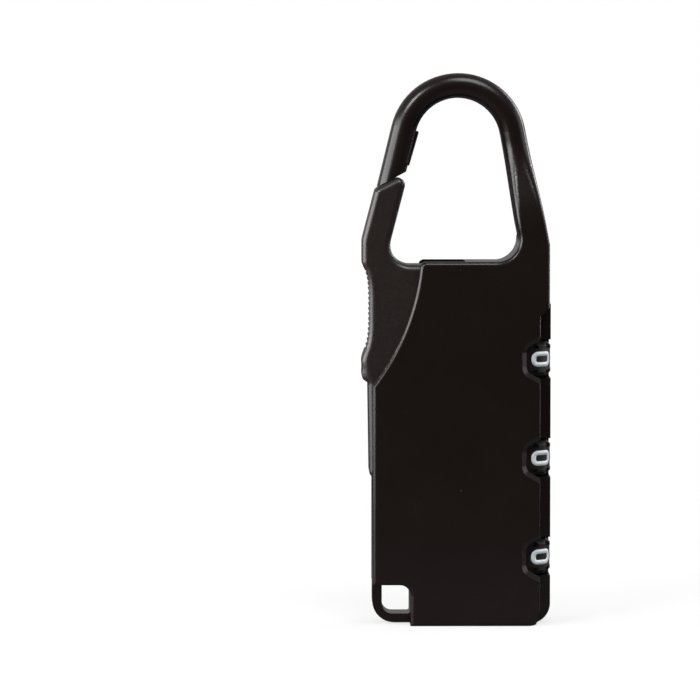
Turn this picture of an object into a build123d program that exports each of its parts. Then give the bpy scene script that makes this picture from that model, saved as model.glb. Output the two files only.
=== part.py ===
"""Gate-lever combination padlock: two zinc shells, a bent shackle, a sprung gate and three number wheels.

Millimetres. X runs to the wheels' side, -Y is the front face, +Z is up. The origin is the middle of the
flat bottom edge.
"""

import os
from math import acos, atan2, cos, degrees, hypot, radians, sin, sqrt, tan

from build123d import *

# Shells
LOCK_HEIGHT = 80.0
CASE_WIDTH = 26.2
CASE_DEPTH = 12.0
SHACKLE_RISE = 27.2
SHELL = 1.35
WALL = 1.2
EDGE_ROUND = 0.6
BOTTOM_CORNER = 3.0
LEFT_INSET = 0.3
PLATE_INSET = 0.3
PLATE_CORNER = 0.8

# Shackle
BOW_CENTRE_X = -0.35
BOW_INSET = 3.25
SHACKLE_WIDTH = 3.58
SHACKLE_INSET = 2.5
SHACKLE_ROUND = 1.7
TIP_RISE = 11.9
TIP_INSET = 2.83
TIP_SLANT = 27.0
FOOT_INSET = 1.9
FOOT_FILLET = 3.3
LEG_BLEND_RISE = 17.6
LEG_SPREAD = 0.5
LEG_STEPS = 7
LEG_GROOVE = 1.4
LEG_GROOVE_DEPTH = 1.0
EAR_RISE = 3.5
EAR_ROUND = 0.9
TIP_RIB = 0.45
TIP_RIB_LENGTH = 5.0
TIP_RIB_DEPTH = 3.4

# Gate lever
LEVER_ROUND = 0.85
LEVER_PROUD = 1.5
LEVER_SHOULDER_DROP = 0.5
LEVER_FOOT_DROP = 17.9
LEVER_UNDERLAP = 1.6
TIP_GAP = 0.15
ARM_WIDTH = 4.05
ARM_LEAN = 0.9
ARM_BEND_RISE = 3.6
ARM_FILLET = 2.9
GRIP_TOP_DROP = 1.2
GRIP_LENGTH = 11.7
GRIP_HOLLOW = 1.0
GRIP_STEP = 0.4
GRIP_RIBS = 16
GRIP_GROOVE = 0.3
HEEL_RISE = 2.4
HEEL_ROUND = 0.8
TAIL_PROUD = 0.65
TAIL_TIP_PROUD = 0.45
TAIL_DROP = 1.6
CURVE_WIDTH = 6.96
CURVE_BULGE = 1.4
TOP_SLOT = 6.5
PIVOT_INSET = 3.2
PIVOT_DROP = 1.26
PIVOT_PIN_RADIUS = 1.2
PIVOT_BOSS_RADIUS = 2.3
NOSE_RISE = 3.5
NOSE_RADIUS = 0.9
NOSE_DEPTH = 6.0
NOSE_LEAD = 1.75

# Wheels
WHEEL_COVER = 1.0
WHEEL_PROUD = 0.1
WHEEL_WIDTH = 5.0
WHEEL_BORE = 2.35
WHEEL_CHAMFER = 0.6
BOTTOM_WHEEL_Z = 9.88
TOP_WHEEL_DROP = 14.16
AXLE_RADIUS = 1.2
DIGITS = 10
DIGIT_ANGLE = -42.0
FIGURE_BAND = 2.9
FIGURE_RECESS = 0.06
NOTCH_RADIUS = 0.8
NOTCH_DEPTH = 0.5
NOTCH_LENGTH = 0.95
KEY_WIDTH = 1.0
KEY_HEIGHT = 0.5

# Gate rings, comb and its guides
FLANGE_RADIUS = 3.6
FLANGE = 0.7
FLANGE_DROP = 0.8
RING_TAIL = 0.3
FINGER = 0.6
FINGER_WIDTH = 1.4
FINGER_BITE = 1.1
COMB_THICK = 1.2
COMB_DEPTH = 4.0
COMB_END = 0.6
SHELF_REACH = 3.15
GUIDE_HEIGHT = 2.5
GUIDE_RISE = 2.0
CHEEK_LEFT = 1.95
CHEEK_RIGHT = 1.55
KEEPER = 0.6
SCREW_RADIUS = 0.6
SCREW_HEAD = 1.0

# Wheel windows and the side step
STEP_WIDTH = 1.65
STEP_DEPTH = 3.5
STEP_TOP_DROP = 7.9
STEP_SLOPE = 1.7
STEP_ROUND = 0.3
WINDOW_REACH = 3.65
WINDOW_INNER_WIDTH = 3.4
WINDOW_WIDTH = 5.6
WINDOW_BEVEL = 0.65
WINDOW_ROUND = 1.2

# Lanyard loop
LOOP_HOLE_WIDTH = 4.1
LOOP_HOLE_HEIGHT = 4.45
LOOP_SIDE = 1.4
LOOP_BOTTOM = 1.3
LOOP_RISE = 0.2
LOOP_DEPTH = 5.0
LOOP_CORNER = 3.2
LOOP_HOLE_ROUND = 1.5
LOOP_HOLE_NOOK = 0.4

# Springs, pins and clips
LEVER_WIRE = 0.4
LEVER_COIL_RADIUS = 1.9
LEVER_COIL_PITCH = 0.85
LEVER_COIL_TURNS = 3
LEVER_SPRING_LEG = 5.0
LEVER_SPRING_ROOM = 0.6
POST_RADIUS = 0.9
COMB_WIRE = 0.35
COMB_COIL_RADIUS = 1.2
COMB_COIL_TURNS = 8
COMB_SPRING_OFFSET = 3.8
COMB_SPRING_BOTTOM_Z = 10.6
COMB_SPRING_LENGTH = 9.8
COMB_TAB = 1.0
SEAT = 1.2
LEAF = 0.3
LEAF_SPINE = 1.8
LEAF_OFFSET = 2.1
LEAF_FINGER = 1.0
RIVET_RADIUS = 0.6
RIVET_HEAD = 0.4
DOWEL_RADIUS = 0.8
DOWEL_BOSS = 1.5
CLIP = 0.5
CLIP_RADIUS = 2.3
SPACER_RADIUS = 2.0
RIB = 2.0
RIB_RISE = 2.45

# Clearances
RUN = 0.05
SIDE_GAP = 0.25
SLIDE_GAP = 0.15
FIT = 0.02


def tangent_tilt(across, drop, radius):
    """Tilt from upright of a line that touches a circle and passes a point across from and below its centre."""
    return degrees(acos(radius / hypot(across, drop)) - atan2(drop, across))


# Shell sizes worked out from the driving dimensions
HALF_WIDTH = CASE_WIDTH / 2
FRONT_Y = -CASE_DEPTH / 2
BACK_Y = CASE_DEPTH / 2
INNER_FRONT_Y = FRONT_Y + SHELL
INNER_BACK_Y = BACK_Y - SHELL
LEFT_X = LEFT_INSET - HALF_WIDTH
CASE_TOP = LOCK_HEIGHT - SHACKLE_RISE
PLATE_X = HALF_WIDTH - PLATE_INSET
STEP_X = HALF_WIDTH - STEP_WIDTH
STEP_Y = FRONT_Y + STEP_DEPTH
STEP_TOP_Z = CASE_TOP - STEP_TOP_DROP
WINDOW_INNER_X = HALF_WIDTH - WINDOW_REACH
LOOP_RIGHT_X = LEFT_X + LOOP_SIDE + LOOP_HOLE_WIDTH
LOOP_TOP_Z = LOOP_RISE + LOOP_BOTTOM + LOOP_HOLE_HEIGHT
CURVE_TOP_X = LEFT_X + CURVE_WIDTH
TOP_SLOT_END_X = CURVE_TOP_X + TOP_SLOT

# Shackle sizes
BOW_OUTER_RADIUS = HALF_WIDTH - BOW_INSET
BOW_INNER_RADIUS = BOW_OUTER_RADIUS - SHACKLE_WIDTH
BOW_MIDDLE_RADIUS = BOW_OUTER_RADIUS - SHACKLE_WIDTH / 2
BOW_CENTRE_Z = LOCK_HEIGHT - BOW_OUTER_RADIUS
SHACKLE_DEPTH = CASE_DEPTH - 2 * SHACKLE_INSET
TIP_X = LEFT_X + TIP_INSET
TIP_Z = CASE_TOP + TIP_RISE
FOOT_X = HALF_WIDTH - FOOT_INSET
GATE_LEG_TILT = tangent_tilt(BOW_CENTRE_X - TIP_X, BOW_CENTRE_Z - TIP_Z, BOW_MIDDLE_RADIUS)
FIXED_LEG_TILT = tangent_tilt(FOOT_X - BOW_CENTRE_X, BOW_CENTRE_Z - CASE_TOP, BOW_MIDDLE_RADIUS)
FOOT_RISE = FOOT_FILLET / tan(radians(45 - FIXED_LEG_TILT / 2))
LEG_BLEND_TOP = CASE_TOP + LEG_BLEND_RISE
LEG_BLEND_BOTTOM = CASE_TOP + FOOT_RISE + SHACKLE_WIDTH / 4
EAR_TOP_Z = CASE_TOP + EAR_RISE

# Wheel and comb sizes
WHEEL_RADIUS = BACK_Y - WHEEL_COVER
AXLE_X = HALF_WIDTH + WHEEL_PROUD - WHEEL_RADIUS
WHEEL_PITCH = (CASE_TOP - TOP_WHEEL_DROP - BOTTOM_WHEEL_Z) / 2
WHEEL_Z = [BOTTOM_WHEEL_Z + WHEEL_PITCH * step for step in range(3)]
WHEEL_NAMES = ["bottom", "middle", "top"]
CAVITY_RADIUS = WHEEL_RADIUS + SIDE_GAP
CAVITY_HALF = WHEEL_WIDTH / 2 + SIDE_GAP
COLUMN_X = AXLE_X + CLIP_RADIUS + SLIDE_GAP
COMB_END_X = AXLE_X - CAVITY_RADIUS - SLIDE_GAP
COMB_X = COMB_END_X - COMB_THICK
COMB_SPRING_X = COMB_X - COMB_SPRING_OFFSET
LEAF_SPINE_X = COMB_X - LEAF_OFFSET
FINGER_TOP_DROP = WHEEL_WIDTH / 2 + (FLANGE_DROP - FINGER) / 2
FLANGE_TOP_DROP = WHEEL_WIDTH / 2 + FLANGE_DROP
RING_BOTTOM_DROP = FLANGE_TOP_DROP + FLANGE + RING_TAIL
COMB_GUIDE_Z = [z + WHEEL_WIDTH / 2 + GUIDE_RISE for z in WHEEL_Z[:2]]
AXLE_RIB_Z = [WALL, WHEEL_Z[2] + WHEEL_WIDTH / 2 + RIB_RISE]

# Lever sizes
LEVER_DEPTH = CASE_DEPTH - 2 * SHELL - 2 * SIDE_GAP
LEVER_X = LEFT_X - LEVER_PROUD
LEVER_SHOULDER_Z = CASE_TOP - LEVER_SHOULDER_DROP
LEVER_FOOT_Z = CASE_TOP - LEVER_FOOT_DROP
ARM_TILT = GATE_LEG_TILT + ARM_LEAN
UP = (0, 1)
GRIP_LEAN = (-GRIP_STEP, 1)
GRIP_TOP = (LEVER_X + GRIP_STEP, CASE_TOP - GRIP_TOP_DROP)
GRIP_RETURN = (GRIP_STEP, 1)
GRIP_BOTTOM = (LEVER_X + GRIP_STEP, CASE_TOP - GRIP_TOP_DROP - GRIP_LENGTH)
GRIP_MIDDLE = (LEVER_X + GRIP_HOLLOW, CASE_TOP - GRIP_TOP_DROP - GRIP_LENGTH / 2)
PIVOT_X = LEFT_X + PIVOT_INSET
PIVOT_Z = WHEEL_Z[1] - PIVOT_DROP
NOSE_X = COMB_X - NOSE_LEAD
NOSE_Z = PIVOT_Z + NOSE_RISE
SHELF_TOP_Z = NOSE_Z - NOSE_RADIUS - RUN
TAB_X = COMB_SPRING_X - COMB_COIL_RADIUS - COMB_WIRE
LEVER_SPRING_FOOT = TAB_X - LEVER_SPRING_ROOM - PIVOT_X
TAIL_END_Z = PIVOT_Z - TAIL_DROP
LEFT_WALL_TOP_Z = TAIL_END_Z - SIDE_GAP
DOWEL_INSET = DOWEL_BOSS - SIDE_GAP
DOWEL_SPOTS = [
    (AXLE_X - WHEEL_RADIUS + DOWEL_RADIUS, CASE_TOP - WALL - DOWEL_INSET),
    ((HALF_WIDTH + COLUMN_X) / 2, (WHEEL_Z[0] + WHEEL_Z[1]) / 2),
    (LEFT_X + WALL + DOWEL_INSET, LOOP_TOP_Z + WALL + 2 * DOWEL_BOSS),
    (LOOP_RIGHT_X + WALL + DOWEL_INSET, WALL + DOWEL_INSET),
]


def slab(face, y_front, y_back):
    """Thicken an outline drawn in X and Z from one depth to another."""
    return extrude(Plane.XZ.offset(-y_back) * face, y_back - y_front, dir=(0, -1, 0))


def outline(points, radii):
    """Closed outline through points, each corner rounded by its own radius."""
    return make_face(FilletPolyline(*points, radius=radii, close=True).edges())


def block(x_range, y_range, z_range):
    """Box between two corners."""
    low = (x_range[0], y_range[0], z_range[0])
    size = [high - start for start, high in (x_range, y_range, z_range)]
    return Pos(*low) * Box(*size, align=(Align.MIN, Align.MIN, Align.MIN))


def upright(radius, x, z_low, z_high, y=0.0):
    """Cylinder along Z."""
    return Pos(x, y, z_low) * Cylinder(radius, z_high - z_low, align=(Align.CENTER, Align.CENTER, Align.MIN))


def cross_pin(radius, x, z, y_low, y_high):
    """Cylinder along Y."""
    return slab(Pos(x, z) * Circle(radius), y_low, y_high)


def tube(outer, inner, x, z_low, z_high):
    """Tube along Z."""
    return upright(outer, x, z_low, z_high) - upright(inner, x, z_low - 1, z_high + 1)


def tip_line_z(x):
    """Height of the shackle's slanted tip face at a given X."""
    return TIP_Z + (x - TIP_X) * tan(radians(TIP_SLANT))


def leg_point(tilt, radius, z, side):
    """X of a shackle leg's line, at a distance from the bow's centre, at height z."""
    return BOW_CENTRE_X + side * (radius / cos(radians(tilt)) + (BOW_CENTRE_Z - z) * tan(radians(tilt)))


def rounded_section(width, y_front, y_back, corner):
    """Cross-section of the shackle: X across, Y front to back."""
    middle = (y_front + y_back) / 2
    return Pos(0, middle) * RectangleRounded(width, y_back - y_front, corner)


def bow():
    """The bent bar: tip leg, half-round bow and the start of the fixed leg, with the slanted tip."""
    gate = radians(GATE_LEG_TILT)
    fixed = radians(FIXED_LEG_TILT)
    start_z = tip_line_z(LEFT_X) - SHACKLE_WIDTH
    start = Vector(leg_point(GATE_LEG_TILT, BOW_MIDDLE_RADIUS, start_z, -1), 0, start_z)
    gate_touch = Vector(
        BOW_CENTRE_X - BOW_MIDDLE_RADIUS * cos(gate), 0, BOW_CENTRE_Z + BOW_MIDDLE_RADIUS * sin(gate)
    )
    crown = Vector(BOW_CENTRE_X, 0, BOW_CENTRE_Z + BOW_MIDDLE_RADIUS)
    fixed_touch = Vector(
        BOW_CENTRE_X + BOW_MIDDLE_RADIUS * cos(fixed), 0, BOW_CENTRE_Z + BOW_MIDDLE_RADIUS * sin(fixed)
    )
    end = Vector(leg_point(FIXED_LEG_TILT, BOW_MIDDLE_RADIUS, LEG_BLEND_TOP, 1), 0, LEG_BLEND_TOP)
    path = Line(start, gate_touch) + ThreePointArc(gate_touch, crown, fixed_touch) + Line(fixed_touch, end)
    half = SHACKLE_DEPTH / 2
    along = (gate_touch - start).normalized()
    section = Plane(start, x_dir=Vector(along.Z, 0, -along.X), z_dir=along)
    bar = sweep(section * rounded_section(SHACKLE_WIDTH, -half, half, SHACKLE_ROUND), path)
    far = 3 * SHACKLE_WIDTH
    tip_x = start.X
    below = make_face(
        Polyline(
            (tip_x - far, tip_line_z(tip_x - far)),
            (tip_x + far, tip_line_z(tip_x + far)),
            (tip_x + far, start_z - far),
            (tip_x - far, start_z - far),
            close=True,
        ).edges()
    )
    return bar - slab(below, -CASE_DEPTH, CASE_DEPTH)


def leg_section(z, share):
    """Section of the fixed leg across its own line; share runs from 0 at the bow to 1 at the front plate."""
    ease = share * share * (3 - 2 * share)
    half = SHACKLE_DEPTH / 2
    y_front = -half + ease * (FRONT_Y + half)
    corner = SHACKLE_ROUND + ease * (EDGE_ROUND - SHACKLE_ROUND)
    spread = ease * LEG_SPREAD
    centre = Vector(leg_point(FIXED_LEG_TILT, BOW_MIDDLE_RADIUS, z, 1), 0, z)
    tilt = radians(FIXED_LEG_TILT)
    plane = Plane(centre, x_dir=(cos(tilt), 0, sin(tilt)), z_dir=(-sin(tilt), 0, cos(tilt)))
    return plane * rounded_section(SHACKLE_WIDTH + spread, y_front, half, corner)


def fixed_leg():
    """The fixed leg, which swells forward until it is flush with the front plate."""
    drop = LEG_BLEND_TOP - LEG_BLEND_BOTTOM
    sections = []
    for step in range(LEG_STEPS + 1):
        share = step / LEG_STEPS
        sections.append(leg_section(LEG_BLEND_TOP - share * drop, share))
    return loft(sections)


def lever_curve():
    """Edge of both shells beside the lever: from the top corner down to the left side."""
    top = Vector(CURVE_TOP_X, CASE_TOP)
    foot = Vector(LEFT_X, LEVER_FOOT_Z)
    chord = foot - top
    away = Vector(-chord.Y, chord.X).normalized()
    middle = (top + foot) * 0.5 + away * CURVE_BULGE
    return ThreePointArc(foot, middle, top)


def shell_face(upper_points, upper_radii, right_x):
    """Outline of a shell: its own upper edge and right side, then the edges that both shells share."""
    points = [(CURVE_TOP_X, CASE_TOP)]
    points += upper_points
    points += [
        (right_x, 0),
        (LOOP_RIGHT_X, 0),
        (LOOP_RIGHT_X, LOOP_TOP_Z),
        (LEFT_X, LOOP_TOP_Z),
        (LEFT_X, LEVER_FOOT_Z),
    ]
    radii = upper_radii + [BOTTOM_CORNER, 0, LOOP_HOLE_ROUND, 0]
    edges = FilletPolyline(*points, radius=radii).edges()
    face = make_face(edges + lever_curve().edges())
    corner = face.vertices().sort_by_distance((CURVE_TOP_X, CASE_TOP, 0))[0]
    return fillet(corner, PLATE_CORNER)


def leg_stub():
    """Corners of the fixed leg's foot, where the front plate takes it over: inner, then outer."""
    tilt = radians(FIXED_LEG_TILT)
    centre_x = leg_point(FIXED_LEG_TILT, BOW_MIDDLE_RADIUS, LEG_BLEND_BOTTOM, 1)
    half = (SHACKLE_WIDTH + LEG_SPREAD) / 2
    inner = (centre_x - half * cos(tilt), LEG_BLEND_BOTTOM - half * sin(tilt))
    outer = (centre_x + half * cos(tilt), LEG_BLEND_BOTTOM + half * sin(tilt))
    return inner, outer


def front_shell():
    """Front plate and walls as one block, before it is hollowed."""
    tilt = radians(FIXED_LEG_TILT)
    inner, outer = leg_stub()
    inner_foot = (inner[0] + (inner[1] - CASE_TOP) * tan(tilt), CASE_TOP)
    side_z = outer[1] - (PLATE_X - outer[0]) / tan(tilt)
    upper = [inner_foot, inner, outer, (PLATE_X, side_z)]
    face = shell_face(upper, [FOOT_FILLET, 0, 0, 0], PLATE_X)
    shell = slab(face, FRONT_Y, INNER_BACK_Y)
    rim = shell.faces().sort_by(Axis.Y)[0].edges()
    stub_middle = Vector((inner[0] + outer[0]) / 2, FRONT_Y, (inner[1] + outer[1]) / 2)
    rim = [edge for edge in rim if (edge.center() - stub_middle).length > 0.5]
    return fillet(rim, EDGE_ROUND)


def side_step():
    """Long step along the wheels' side, where a finger reaches the wheels."""
    far = HALF_WIDTH + 2
    points = [
        (STEP_X - EDGE_ROUND, -1),
        (STEP_X - EDGE_ROUND, 0),
        (STEP_X, 2 * WALL),
        (STEP_X, STEP_TOP_Z),
        (HALF_WIDTH, STEP_TOP_Z + STEP_SLOPE),
        (far, STEP_TOP_Z + STEP_SLOPE),
        (far, -1),
    ]
    return slab(make_face(Polyline(*points, close=True).edges()), FRONT_Y - 1, STEP_Y)


def side_strip():
    """Wider strip behind the step, flush with the back cover's edge."""
    top_z = STEP_TOP_Z + STEP_SLOPE
    root_x = STEP_X - BOTTOM_CORNER
    points = [(root_x, 0), (HALF_WIDTH, 0), (HALF_WIDTH, top_z), (root_x, top_z)]
    return slab(outline(points, [0, BOTTOM_CORNER, 0, 0]), STEP_Y, INNER_BACK_Y)


def window(z):
    """Bevelled opening over one wheel, open to the side."""
    inner = WINDOW_INNER_WIDTH / 2
    outer = WINDOW_WIDTH / 2
    far = HALF_WIDTH + 2
    points = [
        (WINDOW_INNER_X, z - inner),
        (STEP_X, z - outer),
        (far, z - outer),
        (far, z + outer),
        (STEP_X, z + outer),
        (WINDOW_INNER_X, z + inner),
    ]
    face = outline(points, [WINDOW_ROUND, WINDOW_ROUND, 0, 0, WINDOW_ROUND, WINDOW_ROUND])
    opening = slab(face, FRONT_Y - 1, 0)
    bevel_face = Plane.XZ.offset(-(FRONT_Y + WINDOW_BEVEL)) * face
    bevel = extrude(bevel_face, 2 * WINDOW_BEVEL, dir=(0, -1, 0), taper=-45)
    return opening + bevel


def wheel_cavity(z):
    """Room for one wheel and for the flange of its gate ring."""
    room = upright(CAVITY_RADIUS, AXLE_X, z - CAVITY_HALF, z + CAVITY_HALF)
    low = z - RING_BOTTOM_DROP - SLIDE_GAP
    return room + upright(FLANGE_RADIUS + SLIDE_GAP, AXLE_X, low, z)


def pocket():
    """Hollow between the shells, open to the lever and to the slot in the top."""
    far = CASE_WIDTH
    loop_wall_x = LOOP_RIGHT_X + WALL
    loop_wall_z = LOOP_TOP_Z + WALL
    points = [
        (loop_wall_x, WALL),
        (COLUMN_X, WALL),
        (COLUMN_X, CASE_TOP - WALL),
        (TOP_SLOT_END_X, CASE_TOP - WALL),
        (TOP_SLOT_END_X, CASE_TOP + far),
        (-far, CASE_TOP + far),
        (-far, LEFT_WALL_TOP_Z),
        (LEFT_X + WALL, LEFT_WALL_TOP_Z),
        (LEFT_X + WALL, loop_wall_z),
        (loop_wall_x, loop_wall_z),
    ]
    face = make_face(Polyline(*points, close=True).edges())
    return slab(face, INNER_FRONT_Y, INNER_BACK_Y + 1)


def lanyard_loop():
    """L-shaped bar round the square hole at the lower corner."""
    points = [
        (LEFT_X, LOOP_RISE),
        (LOOP_RIGHT_X + WALL, LOOP_RISE),
        (LOOP_RIGHT_X + WALL, LOOP_TOP_Z + WALL),
        (LEFT_X, LOOP_TOP_Z + WALL),
    ]
    half = LOOP_DEPTH / 2
    bar = slab(outline(points, [LOOP_CORNER, 0, 0, 0]), -half, half)
    hole = [
        (LEFT_X + LOOP_SIDE, LOOP_RISE + LOOP_BOTTOM),
        (LOOP_RIGHT_X, LOOP_RISE + LOOP_BOTTOM),
        (LOOP_RIGHT_X, LOOP_TOP_Z),
        (LEFT_X + LOOP_SIDE, LOOP_TOP_Z),
    ]
    rounds = [LOOP_HOLE_ROUND, LOOP_HOLE_NOOK, LOOP_HOLE_ROUND, LOOP_HOLE_NOOK]
    return bar - slab(outline(hole, rounds), -CASE_DEPTH, CASE_DEPTH)


def comb_guide(z):
    """Pad and two cheeks that the comb slides between."""
    half = COMB_DEPTH / 2 + SLIDE_GAP
    left = COMB_X - SLIDE_GAP
    right = COMB_END_X + SLIDE_GAP
    heights = (z, z + GUIDE_HEIGHT)
    pad = block((left - CHEEK_LEFT, right + CHEEK_RIGHT), (INNER_FRONT_Y, half), heights)
    groove = block((left, right), (-half, half + 1), (z - 1, z + GUIDE_HEIGHT + 1))
    guide = pad - groove
    for x in screw_spots():
        guide -= cross_pin(SCREW_RADIUS + FIT, x, z + GUIDE_HEIGHT / 2, 0, half + 1)
    return guide


def screw_spots():
    """X of the two screws of a comb keeper."""
    left = COMB_X - SLIDE_GAP - CHEEK_LEFT / 2
    right = COMB_END_X + SLIDE_GAP + CHEEK_RIGHT / 2
    return [left, right]


def axle_rib(z):
    """Rib with an open seat that the axle drops into."""
    half = SPACER_RADIUS + WALL / 2
    rib = block((AXLE_X - half, COLUMN_X + FIT), (INNER_FRONT_Y, AXLE_RADIUS), (z, z + RIB))
    seat = upright(AXLE_RADIUS + FIT, AXLE_X, z - 1, z + RIB + 1)
    wide = AXLE_RADIUS + FIT
    return rib - seat - block((AXLE_X - wide, AXLE_X + wide), (0, CASE_DEPTH), (z - 1, z + RIB + 1))


def front_casting():
    """Front shell with the shackle, walls, guides and bosses."""
    body = front_shell() - side_step()
    lip = body.edges().filter_by_position(Axis.Y, FRONT_Y - FIT, FRONT_Y + FIT)
    lip = lip.filter_by_position(Axis.X, STEP_X - FIT, STEP_X + FIT)
    body = fillet(lip, STEP_ROUND) + side_strip()
    for z in WHEEL_Z:
        body -= window(z)
    body -= pocket()
    body += [comb_guide(z) for z in COMB_GUIDE_Z]
    body += [axle_rib(z) for z in AXLE_RIB_Z]
    for x, z in DOWEL_SPOTS:
        if x < COLUMN_X:
            body += cross_pin(DOWEL_BOSS, x, z, INNER_FRONT_Y, INNER_BACK_Y)
    body += spring_post()
    body += comb_spring_seat()
    body += cross_pin(PIVOT_BOSS_RADIUS, PIVOT_X, PIVOT_Z, INNER_FRONT_Y, -LEVER_DEPTH / 2 - RUN)
    for z in WHEEL_Z:
        body -= wheel_cavity(z)
    for x, z in DOWEL_SPOTS:
        body -= cross_pin(DOWEL_RADIUS + FIT, x, z, 0, BACK_Y)
    body -= cross_pin(PIVOT_PIN_RADIUS + FIT, PIVOT_X, PIVOT_Z, FRONT_Y + SHELL / 2, 0)
    body += lanyard_loop()
    body -= block((0, CASE_WIDTH), (SHACKLE_DEPTH / 2, CASE_DEPTH), (EAR_TOP_Z, LOCK_HEIGHT))
    body += fixed_leg()
    groove_y = SHACKLE_DEPTH / 2 - LEG_GROOVE_DEPTH
    groove_z = EAR_TOP_Z + SIDE_GAP
    body -= block((0, CASE_WIDTH), (groove_y, CASE_DEPTH), (groove_z, groove_z + LEG_GROOVE))
    return body + bow() + tip_rib()


def tip_rib():
    """Small raised rib on the inner side of the shackle's tip leg."""
    tilt = radians(GATE_LEG_TILT)
    top_z = BOW_CENTRE_Z + BOW_INNER_RADIUS * sin(tilt)
    low_z = top_z - TIP_RIB_LENGTH
    top_x = leg_point(GATE_LEG_TILT, BOW_INNER_RADIUS, top_z, -1)
    low_x = leg_point(GATE_LEG_TILT, BOW_INNER_RADIUS, low_z, -1)
    points = [
        (top_x - SHACKLE_WIDTH / 2, top_z),
        (top_x + TIP_RIB, top_z),
        (low_x + TIP_RIB / 2, low_z),
        (low_x - SHACKLE_WIDTH / 2, low_z),
    ]
    return slab(outline(points, [0, TIP_RIB / 2, TIP_RIB / 4, 0]), -TIP_RIB_DEPTH / 2, TIP_RIB_DEPTH / 2)


def spring_post():
    """Post that the fixed leg of the lever spring rests on."""
    x = PIVOT_X + LEVER_SPRING_FOOT - POST_RADIUS
    z = PIVOT_Z - LEVER_COIL_RADIUS - LEVER_WIRE / 2 - POST_RADIUS
    return cross_pin(POST_RADIUS, x, z, INNER_FRONT_Y, LEVER_COIL_PITCH * LEVER_COIL_TURNS)


def comb_spring_seat():
    """Ledge under the comb spring."""
    half = COMB_COIL_RADIUS + 2 * COMB_WIRE
    z = COMB_SPRING_BOTTOM_Z
    return block((COMB_SPRING_X - half, COMB_SPRING_X + half), (INNER_FRONT_Y, half), (z - SEAT, z))


def back_cover():
    """Rear shell: a plate with an ear behind the fixed leg, and posts that close the axle seats."""
    inner, outer = leg_stub()
    tilt = radians(FIXED_LEG_TILT)
    inner_foot = (inner[0] + (inner[1] - CASE_TOP) * tan(tilt), CASE_TOP)
    ear_x = inner_foot[0] - EAR_RISE * tan(tilt)
    upper = [inner_foot, (ear_x, EAR_TOP_Z), (HALF_WIDTH, EAR_TOP_Z)]
    face = shell_face(upper, [EAR_RISE / 2, 0, EAR_ROUND], HALF_WIDTH)
    cover = slab(face, INNER_BACK_Y, BACK_Y)
    cover = fillet(cover.faces().sort_by(Axis.Y)[-1].edges(), EDGE_ROUND)
    for z in AXLE_RIB_Z:
        half = SPACER_RADIUS - RUN
        cover += block((AXLE_X - half, AXLE_X + half), (AXLE_RADIUS + RUN, INNER_BACK_Y), (z, z + RIB))
    for z in WHEEL_Z:
        cover -= wheel_cavity(z)
    for x, z in DOWEL_SPOTS:
        cover -= cross_pin(DOWEL_RADIUS + FIT, x, z, 0, BACK_Y - SHELL / 2)
    cover -= cross_pin(PIVOT_PIN_RADIUS + FIT, PIVOT_X, PIVOT_Z, 0, BACK_Y - SHELL / 2)
    for z in rivet_heights():
        cover -= cross_pin(RIVET_RADIUS + FIT, rivet_x(), z, 0, BACK_Y - SHELL / 2)
    return cover


def lever_face():
    """Outline of the gate lever: slanted top, tilted arm, hollow grip, long tail and hidden inner edge."""
    tilt = tan(radians(ARM_TILT))
    slant = tan(radians(TIP_SLANT))
    bend_z = LEVER_SHOULDER_Z + ARM_BEND_RISE
    base = tip_line_z(0) - TIP_GAP / cos(radians(TIP_SLANT))
    across = ARM_WIDTH / cos(radians(ARM_TILT))
    outer_top_x = (LEVER_X + (base - bend_z) * tilt) / (1 - slant * tilt)
    inner_top_x = (LEVER_X + across + (base - bend_z) * tilt) / (1 - slant * tilt)
    corner_x = LEVER_X + across - ARM_BEND_RISE * tilt
    hidden_x = CURVE_TOP_X + LEVER_UNDERLAP
    boss_x = PIVOT_X + PIVOT_BOSS_RADIUS
    foot = (LEFT_X - TAIL_PROUD, LEVER_FOOT_Z)
    tail_tip = (LEFT_X - TAIL_TIP_PROUD, TAIL_END_Z)
    heel = (LEVER_X, LEVER_FOOT_Z + HEEL_RISE)
    points = [
        (LEVER_X, GRIP_TOP[1] + 3 * GRIP_STEP),
        (LEVER_X, bend_z),
        (outer_top_x, base + outer_top_x * slant),
        (inner_top_x, base + inner_top_x * slant),
        (corner_x, LEVER_SHOULDER_Z),
        (hidden_x, LEVER_SHOULDER_Z),
        (hidden_x, GRIP_TOP[1] - LEVER_UNDERLAP),
        (boss_x + LEVER_UNDERLAP, GRIP_MIDDLE[1] - LEVER_UNDERLAP),
        (boss_x, PIVOT_Z + 2 * PIVOT_BOSS_RADIUS),
        (boss_x, PIVOT_Z),
        (PIVOT_X, PIVOT_Z),
        (PIVOT_X, TAIL_END_Z),
        tail_tip,
        foot,
    ]
    corner = LEVER_ROUND + SLIDE_GAP
    radii = [3.0, corner, corner, ARM_FILLET, corner, 1.5, 3.0, 2.0, 0, 0, 0, corner]
    rest = FilletPolyline(*points, radius=radii)
    tail_way = (foot[0] - tail_tip[0], foot[1] - tail_tip[1])
    under = (LEVER_X + HEEL_ROUND / 4, LEVER_FOOT_Z + HEEL_ROUND)
    heel_curve = Spline(foot, under, heel, GRIP_BOTTOM, tangents=[tail_way, GRIP_RETURN])
    lip = Spline(GRIP_TOP, points[0], tangents=[GRIP_LEAN, UP])
    return make_face(rest.edges() + heel_curve.edges() + grip_curve().edges() + lip.edges())


def grip_curve():
    """Hollow curve of the thumb grip, from its bottom to its top."""
    return Spline(GRIP_BOTTOM, GRIP_MIDDLE, GRIP_TOP, tangents=[GRIP_RETURN, GRIP_LEAN])


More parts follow.
